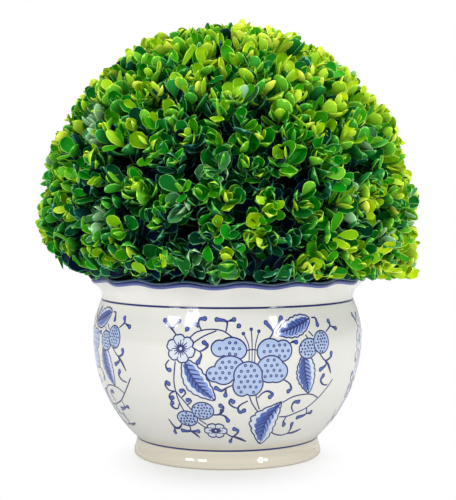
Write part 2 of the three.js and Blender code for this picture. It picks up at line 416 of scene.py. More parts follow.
def spun_and_waved(bowl, outline, loop=False):
    """A mesh spun from an outline in enough steps for the lobes, and waved near the rim."""
    shell = spun(outline, LOBE_STEPS * bowl.lobes, loop)
    for corner in shell.verts:
        corner.co = waved(bowl, corner.co)
    return mesh_of(shell)


def make_bowl(bowl):
    """The bowl's wall, lip and inside, on a foot that is hollow below, with a bare ground ring."""
    outside = outside_of_bowl(bowl)
    inside = [point for point in moved_in(outside, bowl.wall) if point.z > bowl.floor]
    ground_ring = ((17, 3), (14, 2), (13, 0.3), (12, 0), (8, 0))
    profile = [
        Vector((0, 0, 3 * MM)),
        *(Vector((bowl.foot_radius - inwards * MM, 0, z * MM)) for inwards, z in ground_ring),
        *side_of_foot(bowl),
        *outside[1:],
        *arc(lip_centre(bowl), bowl.rim_thickness / 2, -45, 135, 14),
        *reversed(inside[:-1]),
        Vector((FLOOR_RADIUS, 0, bowl.floor)),
        Vector((0, 0, bowl.floor)),
    ]
    add_piece("bowl_body", spun_and_waved(bowl, profile), [glazed_porcelain(bowl)], "bowl")


def add_ring(name, bowl, face, material):
    """A thin painted ring: its face stands a hair proud of the glaze, and its back is inside."""
    back = [point + Vector((-0.6 * MM, 0, -0.2 * MM)) for point in moved_in(face, 0.3 * MM)]
    add_piece(name, spun_and_waved(bowl, face + back[::-1], loop=True), [material])


def make_rings(bowl, paint):
    """Three blue bands along the lip, the top one paler as a painted highlight, and a dark line round
    the neck and above the foot.
    """
    lip = bowl.rim_thickness / 2 + RING_PROUD
    blue = cobalt("underglaze_cobalt_rim", paint.rim)
    dark = cobalt("underglaze_cobalt_rim_line", paint.rim_line)
    pale = cobalt("lip_cobalt_painted_highlight", paint.rim_top_highlight)
    centre = lip_centre(bowl)
    under_lip = moved_in(outside_of_bowl(bowl), -RING_PROUD)[-1]
    add_ring("rim_band", bowl, [under_lip, *arc(centre, lip, -45, -13, 4)], blue)
    add_ring("rim_line", bowl, arc(centre, lip, -13, 22, 4), dark)
    # Painted highlight: paler blue on the top and inside of the lip, where the glaze reflects the
    # light
    add_ring("rim_top_highlight", bowl, arc(centre, lip, 22, 135, 10), pale)
    side = moved_in(side_of_foot(bowl) + outside_of_bowl(bowl)[1:], -RING_PROUD)
    for name, z in (("neck_line", bowl.neck_height), ("foot_line", bowl.foot_height)):
        heights = [z + RING_HALF * i / 2 for i in range(-2, 3)]
        add_ring(name, bowl, [Vector((radius_at(side, h), 0, h)) for h in heights], dark)


# The painting is drawn flat, in millimetres: across from the panel's middle, and up from the
# base. Each shape is a tone and its outline, and a later shape covers an earlier one.


def point_on(path, share):
    """A point on a smooth line through all the points of a path."""
    place = share * (len(path) - 1)
    i = min(int(place), len(path) - 2)
    s = place - i
    b, c = path[i], path[i + 1]
    a = path[i - 1] if i else 2 * b - c
    d = path[i + 2] if i + 2 < len(path) else 2 * c - b
    curve = (2 * a - 5 * b + 4 * c - d) * s * s + (3 * b - a - 3 * c + d) * s**3
    return b + ((c - a) * s + curve) / 2


def smooth_path(points, step=1.6):
    corners = [Vector(point) for point in points]
    size = sum((b - a).length for a, b in zip(corners, corners[1:]))
    count = max(2, round(size / step))
    return [point_on(corners, i / count) for i in range(count + 1)]


def stroke(tone, points, widths, step=1.6):
    """A brush stroke along a smooth line, as four-sided shapes; widths are spread along it."""
    path = smooth_path(points, step)
    sides = []
    for i, point in enumerate(path):
        along = path[min(i + 1, len(path) - 1)] - path[max(i - 1, 0)]
        square = Vector((-along.y, along.x)).normalized()
        share = i / (len(path) - 1) * (len(widths) - 1)
        low = min(int(share), len(widths) - 2)
        width = widths[low] + (widths[low + 1] - widths[low]) * (share - low)
        sides.append((point + square * width / 2, point - square * width / 2))
    return [(tone, in_order([*a, *b])) for a, b in zip(sides, sides[1:])]


def in_order(corners):
    """The corners in order round their middle, so that no two sides of the shape cross."""
    middle = sum(corners, Vector((0, 0))) / len(corners)
    return sorted(corners, key=lambda corner: math.atan2(*(corner - middle).yx))


def oval(tone, centre, across, up=None, tilt=0.0, count=24, edge=None):
    """An ellipse of half sizes across and up; edge gives its size at each angle, if it isn't 1."""
    outline = []
    cos, sin = math.cos(math.radians(tilt)), math.sin(math.radians(tilt))
    for i in range(count):
        turn = math.tau * i / count
        size = edge(turn) if edge else 1
        x = size * across * math.cos(turn)
        y = size * (up or across) * math.sin(turn)
        outline.append(Vector((centre[0] + x * cos - y * sin, centre[1] + x * sin + y * cos)))
    return [(tone, outline)]


# Widths along the strokes, radii of a tendril's knob and a stamen's head, the scallops and
# veins on each side of a leaf, and the spacing of the corners that bend the shapes to the wall
VINE = (1.0, 1.0)
OUTLINE = (1.1, 1.1)
KNOB, HEAD = 1.85, 1.35
TEETH, VEINS = 7, 8
GRID = 4.0
TENDRIL = (1.0, 1.15, 1.6, 2.4, 3.1)
THORN = (1.1, 1.9, 2.1, 1.0)


def tendril(*points):
    """A thin stroke that swells into a round knob with a paler heart."""
    path = smooth_path(points)
    shapes = stroke("line", points, TENDRIL)
    shapes += oval("line", points[-1], KNOB, count=12)
    shapes += stroke("brush", path[-max(2, len(path) // 2) :], (0.2, 0.8, 1.5))
    return shapes + oval("brush", points[-1], KNOB * 0.6, count=8)


def stamen(*points):
    """A hair-thin line with a ringed head."""
    shapes = stroke("line", points, (0.7, 0.8))
    shapes += oval("line", points[-1], HEAD, count=12)
    return shapes + oval("brush", points[-1], HEAD * 0.45, count=8)


def blossom(centre, across, up, turn):
    """Six notched petals, a fan of fine strokes and a ringed heart."""
    petals = 6

    def petal_edge(angle):
        phase = (angle - turn) * petals / math.tau % 1
        notch = 0.05 * math.exp(-(((phase - 0.5) / 0.07) ** 2))
        return 0.72 + 0.28 * math.sin(math.pi * phase) ** 0.5 - notch

    def spoke(angle, start, end, widths):
        way = Vector((across * math.cos(angle), up * math.sin(angle)))
        return stroke("line", [middle + way * start, middle + way * end], widths)

    middle = Vector(centre)
    shapes = oval("haze", centre, across, up, count=72, edge=petal_edge)
    rim = shapes[0][1]
    shapes += stroke("line", rim + rim[:1], OUTLINE, 0.8)
    shapes += oval("wash", centre, across * 0.33, up * 0.33, count=16)
    for i in range(petals):
        shapes += spoke(turn + math.tau * i / petals, 0.56, 0.74, (0.4, 1.1))
    for i in range(16):
        shapes += spoke(math.tau * i / 16, 0.12, 0.48 if i % 2 else 0.62, (1.3, 0.6))
    shapes += oval("line", centre, across * 0.23, up * 0.23, count=12)
    return shapes + oval("haze", centre, across * 0.1, up * 0.1, count=8)


def leaf(base, tip, bend, halves, body, fullest=0.85):
    """A scalloped leaf: its outline, a brushed body in two tones, a midrib and slanting veins.

    The half widths and the body's shares of them are for the soft side and the dark side.
    """
    start = Vector(base)
    end = Vector(tip)
    along = end - start
    square = Vector((-along.y, along.x)).normalized()
    rib = smooth_path([start, (start + end) / 2 + square * bend, end], along.length / 40)
    last = len(rib) - 1

    def fullness(share):
        return max(math.sin(math.pi * min(share, 1) ** fullest), 0) ** 0.75

    def edge(width, depth, low=0.0, high=1.0):
        """One side's scalloped edge between two shares of the length."""
        row = []
        for i in range(last + 1):
            share = low + (high - low) * i / last
            tooth = 1 + depth * (abs(math.sin(math.pi * TEETH * share)) ** 0.7 - 0.5)
            row.append(point_on(rib, share) + square * width * tooth * fullness(share))
        return row

    soft_side, dark_side = edge(halves[0], 0.14), edge(-halves[1], 0.14)
    shapes = [("haze", soft_side + dark_side[-2:0:-1])]
    for side in (soft_side, dark_side):
        shapes += stroke("line", side, OUTLINE, 0.8)
    middle = edge(0, 0, 0.06, 0.93)
    widths = (halves[0] * body[0], -halves[1] * body[1])
    for tone, width in zip(("soft", "brush"), widths):
        shapes.append((tone, edge(width, 0.3, 0.06, 0.93) + middle[-2:0:-1]))
    for i in range(1, VEINS + 1):
        share = i / (VEINS + 1)
        root = point_on(rib, share * 0.88)
        for width in widths:
            reach = 0.9 * width * fullness(share + 0.06)
            tip_of_vein = root + square * reach + along.normalized() * abs(reach) * 0.9
            shapes += stroke("line", [root, tip_of_vein], (1.4, 0.7))
    return shapes + stroke("line", rib, (1.5, 1.3, 0.9))


def spots(ovals, spacing, size, hearts=False):
    """Rows of dots inside one or more ovals, every second row shifted by half a space."""
    shapes = []
    middle = sum((Vector(centre) for centre, *_ in ovals), Vector((0, 0))) / len(ovals)
    inset = size + (0.9 if hearts else 0.4)
    reach = range(-8, 9)
    for row in reach:
        for column in reach:
            x = middle.x + (column + 0.5 * (row % 2)) * spacing + 0.3 * math.sin(3 * row + column)
            y = middle.y + row * spacing * 0.87 + 0.3 * math.cos(2 * column - row)
            inside = [
                math.hypot((x - centre[0]) / (across - inset), (y - centre[1]) / (up - inset)) < 1
                for centre, across, up, _ in ovals
            ]
            if any(inside):
                shapes += oval("line", (x, y), size, count=8)
                if hearts:
                    shapes += oval("soft", (x, y), size * 0.45, count=6)
    return shapes


def petals_with_spots(ovals):
    """One large lobe of the main flower: ovals that run into each other, outlined and dotted."""
    shapes = []
    for centre, across, up, tilt in ovals:
        shapes += oval("line", centre, across + 0.55, up + 0.55, tilt, 40)
    for centre, across, up, tilt in ovals:
        shapes += oval("wash", centre, across - 0.55, up - 0.55, tilt, 40)
    return shapes + spots(ovals, 4.6, 1.25, hearts=True)


def berry(centre, across, up, tilt, size=0.85):
    """A dotted oval with an outline; size is that of its dots."""
    shapes = oval("line", centre, across + 0.5, up + 0.5, tilt)
    shapes += oval("wash", centre, across - 0.55, up - 0.55, tilt)
    return shapes + spots([(centre, across, up, tilt)], 2.6, size)


VINES = (
    ((-60.5, 83), (-62.5, 69), (-62, 60.5), (-60.5, 53), (-57.5, 45)),
    ((-62, 60.5), (-58, 55.5), (-54, 50.5), (-51, 46.5)),
    ((-49.5, 100.5), (-44, 105), (-34.5, 107), (-25, 106), (-18, 101.5)),
    ((-46.5, 97), (-39, 102), (-29.5, 106)),
    ((-45.5, 39), (-39.5, 35)),
    ((-47, 36.5), (-41, 32.5)),
    ((-4.5, 57.5), (-2, 52), (3, 45.5)),
    ((0.5, 59), (1.5, 54), (4.5, 47)),
    ((71.5, 65.5), (66, 59), (58.5, 52), (49, 45.5), (38.5, 42), (30.5, 40), (23.5, 40)),
    ((23.5, 51.5), (32.5, 55.5), (43, 56.5), (51, 55.5), (58, 52.5)),
    ((19, 29), (23, 26), (32, 24), (38.5, 25)),
    ((39.5, 101.5), (41.5, 98.5)),
    ((42.5, 104), (46.5, 100)),
)

TENDRILS = (
    ((-62.5, 60.5), (-67.5, 61), (-70.2, 64.5), (-69, 67.5), (-67.3, 66)),
    ((-62.5, 60.5), (-66.5, 58.8), (-68.2, 56), (-67, 54), (-65.6, 55.5)),
    ((-60.5, 51), (-62.5, 47), (-66, 47.3), (-67.8, 49.8), (-66.4, 51.4)),
    ((-57.5, 56), (-54, 59.5), (-55.5, 62), (-57.5, 61)),
    ((-53.5, 50.5), (-50, 53), (-51.5, 55), (-53, 54)),
    ((-33.5, 43), (-28, 43.5), (-26, 46.5)),
    ((-28, 43.5), (-24.5, 48.5), (-27, 50.5)),
    ((-28, 43.5), (-23.5, 42), (-21, 38.5)),
    ((-70.5, 31.5), (-72, 27)),
    ((-55, 34), (-56, 29), (-63.5, 29)),
    ((-56, 29), (-48, 29)),
    ((-23, 28), (-16.5, 25), (-11.5, 29.5), (-15.5, 31.5)),
    ((-16.5, 25), (-18.5, 21)),
    ((-40.5, 106), (-43, 110.5), (-42.5, 114), (-38.5, 114.5)),
    ((-43, 108), (-45.5, 110.5)),
    ((-59.5, 102), (-63.5, 106.5), (-70, 112.5)),
    ((-63.5, 106.5), (-58.5, 112.5)),
    ((-53, 105), (-51.5, 107)),
    ((-22.5, 105.5), (-22, 112.5), (-29.5, 114)),
    ((-22, 112.5), (-16.5, 114)),
    ((-14.5, 108), (-13, 109.5)),
    ((-45.5, 93), (-41.5, 91), (-37, 93.5), (-36, 95.5), (-38.5, 97.5)),
    ((-41.5, 91), (-40.5, 88), (-43, 83)),
    ((-65.5, 84), (-68.5, 80), (-67, 76.5), (-65.5, 76.5)),
    ((-17, 66.5), (-22.5, 64), (-26, 62), (-30, 64)),
    ((-22.5, 64), (-23, 58.5)),
    ((25.5, 95.5), (28, 97), (31, 96.5)),
    ((9.5, 100), (12.5, 105), (7.5, 111.5)),
    ((12.5, 105), (20, 114.5)),
    ((20.5, 70), (27, 66), (29, 62), (27, 60)),
    ((47, 113.5), (51, 113), (52, 108)),
    ((60, 102.5), (65.5, 106.5), (64.5, 110)),
    ((65.5, 106.5), (72, 104)),
    ((52.5, 87), (59, 81), (65, 83), (65.5, 86)),
    ((59, 81), (60.5, 77.5), (55, 74.5)),
    ((66, 61.5), (60.5, 62.5), (57, 66), (59, 69.5)),
    ((36, 43), (33, 47), (34, 51), (38.5, 51)),
    ((30.5, 40), (29, 36), (30.5, 33)),
    ((49, 45.5), (50.5, 40), (42.5, 38)),
    ((50.5, 40), (56, 41)),
    ((38.5, 25), (40, 28), (39, 33)),
    ((-5.5, 54), (-10.5, 51.5), (-13, 48.5), (-11.5, 45), (-8, 46.5)),
    ((-13, 48.5), (-16, 49), (-20, 52), (-19, 55), (-17, 53.5)),
    ((2, 56), (6, 60), (10, 61), (14, 58.5), (12, 56.5)),
)

THORNS = (
    ((-62, 34.5), (-66, 31), (-70.5, 31.5), (-74, 38)),
    ((-56, 29), (-52, 27), (-48, 23.5)),
    ((-16.5, 25), (-11, 23.5), (-3, 20.5)),
    ((38.5, 25), (46, 25.5), (53.5, 27.5)),
    ((59, 81), (63, 77.5), (67.5, 70.5)),
)

STAMENS = (
    ((-5.7, 83), (-6, 95), (-9.8, 104)),
    ((-3.6, 83), (-3.5, 95.5), (-3.9, 107)),
    ((-1.6, 83), (-1, 95.5), (1.8, 105.5)),
)

BUTTERFLY_LOBES = (
    (((-27.2, 93.4), 6, 6, 0), ((-17.2, 93.2), 9.9, 7.9, -20)),
    (((-30.6, 74.4), 6.5, 5.8, 0), ((-24.5, 72.6), 7.5, 5.8, 0), ((-19.8, 79), 11, 9, 0)),
    (((20, 90.8), 7.2, 7.8, 0), ((9.8, 90.9), 9.5, 9.1, 0)),
    (((10.6, 77.6), 10.6, 10, 0), ((16, 75.2), 8.4, 7.8, 0)),
    (((-6.2, 73.2), 10.6, 10.4, 0), ((-10.4, 66), 7, 8.2, 0), ((-2.6, 67), 8, 9, 0)),
)


def panel_shapes():
    """The shapes of one panel, from the lowest to the topmost."""
    shapes = []
    for vine in VINES:
        shapes += stroke("line", vine, VINE)
    for points in TENDRILS:
        shapes += tendril(*points)
    shapes += leaf((-54, 84.2), (-31.2, 54.6), -3, (8.8, 8.4), (0.7, 0.52))
    shapes += leaf((45, 113.3), (14.5, 103.4), 1, (7.2, 7), (0.78, 0.62))
    shapes += leaf((37.5, 87), (46.8, 57.2), -1.7, (8.8, 7.2), (0.58, 0.78))
    shapes += leaf((22.5, 52.2), (11.9, 17.8), -5.5, (9.6, 13.8), (0.5, 0.62), 1.25)
    shapes += blossom((-56.1, 92.6), 11.2, 10.6, 0.2)
    shapes += blossom((-32, 30), 10.4, 6.2, 0.5)
    shapes += berry((-55.8, 39.4), 9, 6, 0, 0.95)
    shapes += berry((-41.6, 46.1), 9, 6.7, 0)
    shapes += berry((41.8, 91.3), 8.4, 7.4, 15)
    shapes += berry((54.5, 95.2), 7.6, 8.6, 15)
    for points in THORNS:
        shapes += stroke("line", points, THORN)
    for points in STAMENS:
        shapes += stamen(*points)
    shapes += stroke("line", ((-8.4, 91.5), (-3.7, 92.4), (1, 91.8)), VINE)
    for ovals in BUTTERFLY_LOBES:
        shapes += petals_with_spots(ovals)
    return shapes


def signed_area(outline):
    return sum(a.x * b.y - b.x * a.y for a, b in zip(outline, outline[1:] + outline[:1])) / 2


def cut_panel(shapes):
    """Cuts overlapping shapes into triangles. Gives the corners, and each tone's triangles."""
    corners = []
    outlines = []
    for _, outline in shapes:
        ordered = outline if signed_area(outline) > 0 else outline[::-1]
        outlines.append(list(range(len(corners), len(corners) + len(ordered))))
        corners += ordered
    low = Vector((min(c.x for c in corners), min(c.y for c in corners)))
    high = Vector((max(c.x for c in corners), max(c.y for c in corners)))
    columns = int((high.x - low.x) / GRID)
    rows = int((high.y - low.y) / GRID)
    grid = [low + Vector((i, j)) * GRID for i in range(columns) for j in range(rows)]
    places, _, triangles, _, _, sources = delaunay_2d_cdt(corners + grid, [], outlines, 1, 1e-4, True)
    tones = {}
    for triangle, over in zip(triangles, sources):
        if over:
            tones.setdefault(shapes[max(over)][0], []).append(list(triangle))
    return places, tones


# The panels are painted by hand, so they aren't quite evenly spaced and level: each one's turn
# further round in degrees and height in millimetres
PANEL_DRIFT = ((0, 0), (3, -0.5), (0, 0), (-3.3, 2))


def on_wall(bowl, paint, panel, place):
    """Where a point of the painting lies on the bowl, and which way the wall faces there."""
    further, higher = PANEL_DRIFT[panel % len(PANEL_DRIFT)]
    turn = paint.turn + math.tau * panel / paint.repeats + math.radians(further)
    turn += place.x * MM / bowl.belly_radius
    z = paint.base + (place.y + higher) * MM
    out, up = wall_normal(bowl, z)
    way = Vector((math.sin(turn), -math.cos(turn), 0))
    return way * wall_radius(bowl, z) + UP * z, way * out + UP * up


# How far the painting stands proud of the wall, and how thick its shells are
PAINT_PROUD = 0.07 * MM
PAINT_DEPTH = 0.2 * MM


def make_painting(bowl, paint):
    """Painted shells that stand a hair proud of the wall, so that they lie on the glaze."""
    places, tones = cut_panel(panel_shapes())
    for tone in ("line", "brush", "soft", "wash", "haze"):
        shell = bmesh.new()
        used = sorted({corner for triangle in tones[tone] for corner in triangle})
        for panel in range(paint.repeats):
            corners = {}
            for i in used:
                place, facing = on_wall(bowl, paint, panel, places[i])
                corners[i] = shell.verts.new(place + facing * PAINT_PROUD)
            for triangle in tones[tone]:
                shell.faces.new([corners[i] for i in triangle])
        shell.normal_update()
        bmesh.ops.solidify(shell, geom=shell.faces, thickness=PAINT_DEPTH)
        mesh = mesh_of(shell)
        mesh.normals_split_custom_set_from_vertices([wall_facing(bowl, v.co) for v in mesh.vertices])
        material = cobalt(f"underglaze_cobalt_{tone}", getattr(paint, tone))
        add_piece(f"painting_{tone}", mesh, [material])


def wall_facing(bowl, place):
    """Which way the wall faces at a place on it."""
    out, up = wall_normal(bowl, place.z)
    way = Vector((place.x, place.y, 0)).normalized()
    return way * out + UP * up


def potting_mix():
    """Bark and peat potting mix: near black crumbs with brown bits, matt and rough."""
    material, tree, shader, place = new_material("potting_mix", Roughness=0.95)
    crumbs = add_node(tree, "TexVoronoi", {"Vector": place, "Scale": 1 / 0.006})
    grit = add_node(tree, "TexNoise", {"Vector": place, "Scale": 1 / 0.002, "Detail": 4.0})
    mottle(tree, shader, grit, "#1c140d", "#5a4430", crumbs, 0.8, 2 * MM)
    return material


def lumpy(place, width, detail):
    """How far lumps of one width rise or sink at a place, from -1 to 1."""
    return max(-1, min(1, noise.fractal(place / width, 1.0, 2.0, detail)))


# Lumps of the planting mix and of the core: how wide they are, and how far they rise and sink
CRUMB_WIDTH, CRUMB_RISE = 9 * MM, 1.4 * MM
LUMP_WIDTH, LUMP_RISE = 16 * MM, 5 * MM


def make_fill(bowl):
    """Crumbly planting mix, a few millimetres uneven on top, in the node's own place."""
    low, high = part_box("planting_fill")
    inside = moved_in(outside_of_bowl(bowl), bowl.wall + 0.4 * MM)
    side = [point for point in inside if low.z + 1 * MM < point.z < high.z - 4 * MM]
    top = [Vector((side[-1].x * (1 - i / 24), 0, high.z - 1.5 * MM)) for i in range(25)]
    profile = [Vector((0, 0, low.z)), Vector((60 * MM, 0, low.z)), *side, *top]
    shell = spun(profile, 96)
    for corner in shell.verts:
        share = smooth_step(corner.co.z, high.z - 4 * MM, high.z - 1.5 * MM)
        corner.co.z += share * lumpy(corner.co, CRUMB_WIDTH, 4) * CRUMB_RISE
    add_piece("planting_mix", mesh_of(shell), [potting_mix()], "planting_fill")


def box_bark():
    """Box bark: greyish tan, in fine upright flakes, matt."""
    material, tree, shader, place = new_material("box_bark", Roughness=0.85)
    drawn_out = add_node(tree, "Mapping", {"Vector": place, "Scale": (1, 1, 0.25)})
    flakes = add_node(tree, "TexNoise", {"Vector": drawn_out, "Scale": 1 / 0.003, "Detail": 5.0})
    mottle(tree, shader, flakes, "#4a3a2a", "#9a8668", flakes, 0.7, 0.6 * MM)
    return material


# How far the stem's top lies to the right of its foot
STEM_LEAN = 3 * MM


def make_stem():
    """The short stem with its root flare, and bark that stands out in upright ridges."""
    low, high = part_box("stem")
    foot = 15 * MM
    girth = 9 * MM
    tip = 6.5 * MM
    flare = quadratic(
        Vector((foot, 0, low.z)),
        Vector((girth, 0, low.z + 5 * MM)),
        Vector((girth, 0, low.z + 16 * MM)),
        8,
    )
    top = high.z - tip / 2
    shaft = [flare[-1].lerp(Vector((tip, 0, top)), i / 24) for i in range(1, 25)]
    profile = [Vector((0, 0, low.z)), *flare, *shaft, *arc(Vector((0, 0, top)), tip, 15, 90, 4)]
    profile[-1].x = 0
    for point in profile[-4:]:
        point.z = top + (point.z - top) / 2
    shell = spun(profile, 48)
    for corner in shell.verts:
        share = (corner.co.z - low.z) / (high.z - low.z)
        radius = math.hypot(corner.co.x, corner.co.y)
        if radius > 1 * MM and share > 0:
            turn = math.atan2(corner.co.y, corner.co.x)
            place = Vector((3 * math.cos(turn), 3 * math.sin(turn), corner.co.z / (14 * MM)))
            grown = 1 + (0.7 * noise.noise(place) - 0.3) * MM / radius
            corner.co.x *= grown
            corner.co.y *= grown
        corner.co.x += STEM_LEAN * share * share
    add_piece("stem_bark", mesh_of(shell), [box_bark()], "stem")


def painted_shade_core_surface():
    """The inside of the ball: old wood and dead leaves, matt, whose near-black navy is painted shade.
    """
    material, tree, shader, place = new_material("old_foliage_painted_shade", Roughness=0.9)
    patch = add_node(tree, "TexVoronoi", {"Vector": place, "Scale": 1 / 0.012})
    # Painted shade: two near-black navy tones stand for the shadow deep inside the ball
    mottle(tree, shader, patch, "#08152a", "#020812", patch, 1.0, 3 * MM)
    return material


# Radii of the core's ball and of its neck, which goes down into the bowl
CORE_RADIUS = 112 * MM
CORE_NECK = 90 * MM


def make_core(plant):
    """A dark lumpy core, clipped flat underneath, that the leafy shoots stand out of: a dark thing put
    where the ball's inside lies in shade.
    """
    base = plant.rim_clear + 3 * MM
    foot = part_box("planting_fill")[1].z + 1 * MM
    clip = math.degrees(math.asin((base - plant.centre) / CORE_RADIUS))
    middle = Vector((0, 0, plant.centre))
    ball = arc(middle, CORE_RADIUS, clip, 90, 40)
    ball[-1].x = 0
    under = [Vector((CORE_NECK, 0, base)).lerp(ball[0], i / 5) for i in range(5)]
    profile = [Vector((0, 0, foot)), Vector((CORE_NECK, 0, foot)), *under, *ball]
    shell = spun(profile, 120)
    for corner in shell.verts:
        if corner.co.z > base + 1 * MM:
            out = (corner.co - middle).normalized()
            corner.co += out * lumpy(corner.co, LUMP_WIDTH, 3) * LUMP_RISE
    add_piece("foliage_core", mesh_of(shell), [painted_shade_core_surface()], "foliage_ball")


def tube_template(sides, rings):
    """A closed tube of radius 1 from height 0 to 1, extruded from a circle in equal steps."""
    tube = bmesh.new()
    made = bmesh.ops.create_circle(tube, cap_ends=True, segments=sides, radius=1)
    faces = list({face for corner in made["verts"] for face in corner.link_faces})
    for ring in range(rings):
        grown = bmesh.ops.extrude_face_region(tube, geom=faces, use_keep_orig=ring == 0)
        corners = [part for part in grown["geom"] if isinstance(part, bmesh.types.BMVert)]
        faces = [part for part in grown["geom"] if isinstance(part, bmesh.types.BMFace)]
        bmesh.ops.translate(tube, verts=corners, vec=(0, 0, 1 / rings))
    bmesh.ops.recalc_face_normals(tube, faces=tube.faces)
    places = np.array([corner.co[:] for corner in tube.verts])
    outlines = [[corner.index for corner in face.verts] for face in tube.faces]
    tube.free()
    return places, outlines


def bent_tubes(template, limbs):
    """Copies the tube along each limb: two ends, the ways it leaves and arrives, two radii."""
    places, outlines = template
    s = places[:, 2:3]
    points = []
    for start, leave, end, arrive, thick, thin in limbs:
        third = (end - start).length / 3
        a, d = np.array(start), np.array(end)
        b, c = np.array(start + leave * third), np.array(end - arrive * third)
        path = a * (1 - s) ** 3 + 3 * b * s * (1 - s) ** 2 + 3 * c * s * s * (1 - s) + d * s**3
        along = (b - a) * (1 - s) ** 2 + 2 * (c - b) * s * (1 - s) + (d - c) * s * s
        along /= np.linalg.norm(along, axis=1, keepdims=True)
        across = np.cross(along, np.array(arrive.orthogonal()))
        across /= np.linalg.norm(across, axis=1, keepdims=True)
        upright = np.cross(along, across)
        radius = thick + (thin - thick) * s
        points.append(path + radius * (across * places[:, 0:1] + upright * places[:, 1:2]))
    count = len(places)
    faces = [[corner + i * count for corner in face] for i in range(len(limbs)) for face in outlines]
    return np.concatenate(points), faces


def joined_mesh(points, faces, indices=None):
    """A smooth mesh from points and faces, with a material number for each face if given."""
    mesh = bpy.data.meshes.new("joined")
    mesh.from_pydata(points.tolist(), [], faces)
    if indices is not None:
        mesh.polygons.foreach_set("material_index", indices)
    mesh.shade_smooth()
    mesh.update()
    return mesh


def spiral(count, lowest):
    """Directions on a golden-angle spiral from the top down to an angle from upright."""
    ways = []
    for i in range(count):
        rise = 1 - (1 - math.cos(lowest)) * (i + 0.5) / count
        reach = math.sqrt(1 - rise * rise)
        turn = i * GOLDEN_ANGLE
        ways.append(Vector((reach * math.cos(turn), reach * math.sin(turn), rise)))
    return ways


# A leafy shoot: where it starts, which way it grows, how long it is, and its tint
Shoot = namedtuple("Shoot", "foot way size tint")


# Leaf tints from the darkest to the lightest: blade, pale margin, underside. The darkest, night and
# shade, are painted shade in near-black navy and blue-green.
TINTS = {
    "night": ("#021a2e", "#387868", "#0a3834"),
    "shade": ("#034428", "#66b486", "#145c38"),
    "deep": ("#04661c", "#70c064", "#1e7c30"),
    "leaf": ("#0c8810", "#84d054", "#389826"),
    "fresh": ("#369c06", "#a4e04c", "#60b026"),
    "bright": ("#78b204", "#c0e844", "#90c422"),
    "lime": ("#9cc808", "#d4f04c", "#b0d430"),
    "young": ("#c0e010", "#ecf870", "#d4e844"),
    "grey": ("#4c9854", "#b4e0ac", "#88bc84"),
}
LIGHTEST_FIRST = ("young", "lime", "bright", "fresh", "leaf", "deep", "shade", "night")
GREY_SHARE = 0.05
STRAY_SHARE = 0.3


def shoot_tint_with_painted_light(way, dice):
    """A shoot's tint, partly the young growth's own colour and partly painted light: lighter lime at
    the top and the right, where light falls, painted shade in blue-green in front, and lime at the
    lowest edge.
    """
    front = max(0, -way.y)
    edge = max(0, -way.z - 0.12)
    # Painted light and shade: lighter tints up top and on the right, darker ones in front
    light = 0.46 + 0.26 * way.z + 0.14 * way.x + 0.1 * abs(way.x) - 0.2 * front + 0.8 * edge
    light += dice.gauss(0, 0.18)
    if dice.random() < GREY_SHARE:
        return "grey"
    place = (1 - light) * (len(LIGHTEST_FIRST) - 2)
    return LIGHTEST_FIRST[max(0, min(len(LIGHTEST_FIRST) - 2, round(place)))]


def leaf_tint(tint, age, dice):
    """A leaf's tint on a shoot of one tint: older leaves, deeper in the ball, are darker, partly in
    their own colour and partly as painted shade; a few stray.
    """
    # Painted shade: the oldest pairs sit deepest in the ball and take darker tints
    darker = (3, 2, 1, 0, -1)[age]
    if dice.random() < STRAY_SHARE:
        darker += dice.choice((-2, -1, 1, 2))
    if tint == "grey":
        return "deep" if darker > 1 else tint
    place = LIGHTEST_FIRST.index(tint) + darker
    return LIGHTEST_FIRST[max(0, min(len(LIGHTEST_FIRST) - 1, place))]


# In millimetres: how uneven the clipping by hand is, and how much fuller the ball is low down
UNEVEN = 4.5
FULLER = 160


def clipped_reach(plant, way):
    """How far the leaves reach that way: a few mm uneven, and further near the clipped underside."""
    low = max(0, -way.z - 0.1)
    uneven = noise.fractal(way * 3, 1.0, 2.0, 3)
    return plant.radius + (UNEVEN * uneven + FULLER * low**2) * MM


# In millimetres: how far from the ball's middle shoots start, and how far inside the clipped
# surface they end
SHOOT_FEET = (112, 120)
SHOOT_ENDS = (7, 18)
# The lowest shoots' angle from upright, seen from the ball's middle
LOWEST_SHOOT = math.radians(116)


def grow_shoots(plant):
    """Shoots on the spiral, each a little off its place; those at the clipped underside lie flat."""
    dice = random.Random(plant.seed)
    middle = Vector((0, 0, plant.centre))
    lowest_foot = plant.rim_clear + 6 * MM
    shoots = []
    for way in spiral(plant.sprigs, LOWEST_SHOOT):
        side = Vector([dice.uniform(-1, 1) for _ in range(3)])
        grown = (way + side * 0.07).normalized()
        foot = middle + grown * dice.uniform(*SHOOT_FEET) * MM
        foot.z = max(foot.z, lowest_foot)
        lean = Vector([dice.uniform(-1, 1) for _ in range(3)])
        aim = (grown + lean * 0.36 + UP * 0.2).normalized()
        if foot.z < lowest_foot + 6 * MM:
            aim.z = max(aim.z, -0.12)
            aim.normalize()
        end = clipped_reach(plant, grown) - dice.uniform(*SHOOT_ENDS) * MM
        size = max(14 * MM, end - (foot - middle).length)
        shoots.append(Shoot(foot, aim, size, shoot_tint_with_painted_light(grown, dice)))
    return shoots


# How far a twig's end stays inside the clipped ball, under its last leaves
TWIG_COVER = 6 * MM
# How far from the ball's middle boughs and branches end, and the radii of their two ends and
# of a twig's
BOUGH_REACH, BRANCH_REACH = 62 * MM, 100 * MM
BOUGH_RADII = (4 * MM, 2.6 * MM)
BRANCH_RADII = (2.3 * MM, 1.5 * MM)
TWIG_RADII = (1.2 * MM, 0.5 * MM)


